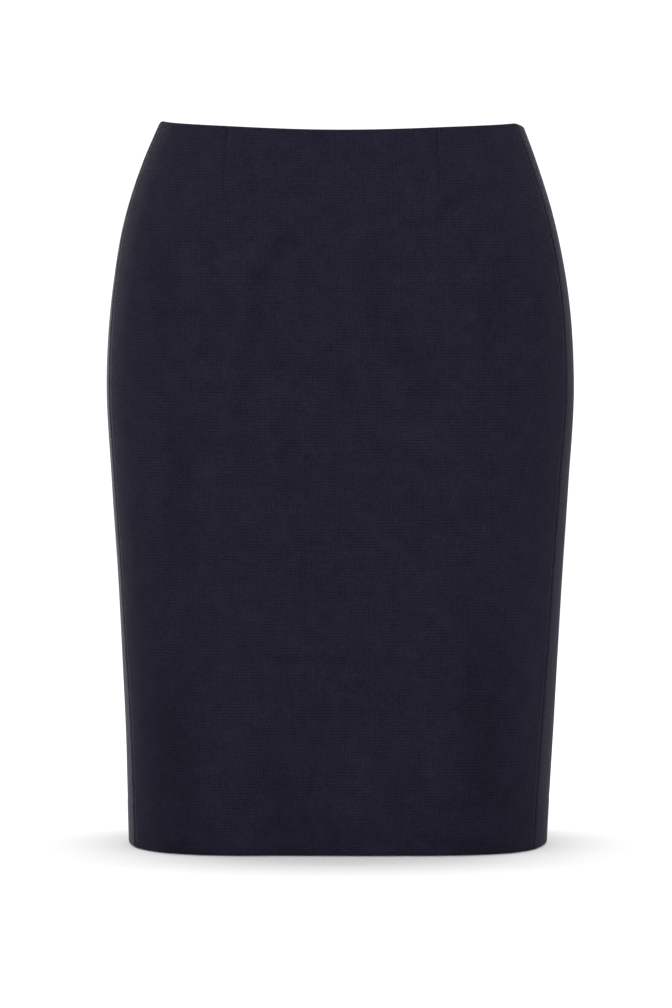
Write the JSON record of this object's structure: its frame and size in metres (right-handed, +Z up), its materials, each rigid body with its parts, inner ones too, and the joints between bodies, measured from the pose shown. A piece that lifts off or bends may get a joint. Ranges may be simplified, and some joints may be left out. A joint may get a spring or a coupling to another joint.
{
  "type": "pencil skirt",
  "caption": "Knee-length pencil skirt in dark woven cloth, filled out as worn: waist darts, side seams, turned-up hem, back zip with a swinging pull tab, back vent.",
  "frame": {"origin": "middle of the waist opening, level with the highest point of the waist edge", "axes": "+Z up along the skirt, the front faces -Y, +X is the wearer's left"},
  "size_m": [0.3639, 0.1967, 0.561],
  "materials": {
    "suiting": "matte dark navy suiting in a fine basket weave, slightly brushed",
    "zip_tape": "matte dark navy woven tape",
    "zip_lacquer": "semi-gloss dark navy lacquer over zinc"
  },
  "bodies": {
    "skirt": {"front_panel": "suiting", "back_panel_left": "suiting", "back_panel_right": "suiting", "zip_tape_left": "zip_tape", "zip_tape_right": "zip_tape", "zip_slider": "zip_lacquer"},
    "pull_tab": {"zip_pull": "zip_lacquer"}
  },
  "joints": [
    {"name": "pull_hinge", "type": "hinge", "parent": "skirt", "child": "pull_tab", "pos_m": [0.00643, 0.08548, -0.01411], "axis": [1, 0, 0], "range_deg": [0, 160]}
  ]
}
